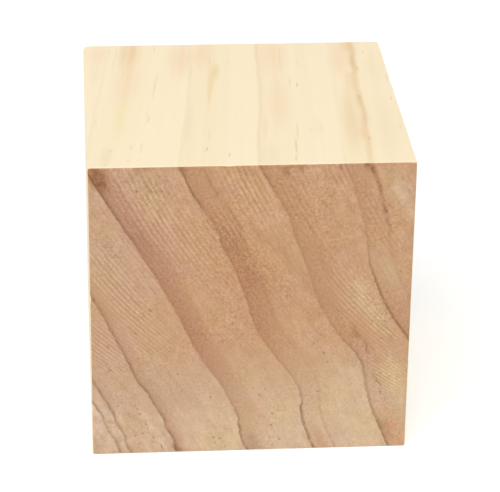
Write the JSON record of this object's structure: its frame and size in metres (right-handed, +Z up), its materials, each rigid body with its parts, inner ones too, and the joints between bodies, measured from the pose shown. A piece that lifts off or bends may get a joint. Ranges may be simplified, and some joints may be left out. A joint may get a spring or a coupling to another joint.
{
  "type": "wooden cube",
  "caption": "Solid softwood cube with crisp, lightly eased edges and sawn end grain on two opposite faces, for craft, spacing or display.",
  "frame": {"origin": "centre of the bottom face, on the surface that the cube stands on", "axes": "+Z up; Y along the grain, with a sawn end-grain face at -Y (front) and at +Y (back); X across, with planed sides at -X and +X"},
  "size_m": [0.05, 0.05, 0.05],
  "materials": {
    "wood": "matte"
  },
  "bodies": {
    "root": {"block": "wood"}
  },
  "joints": []
}
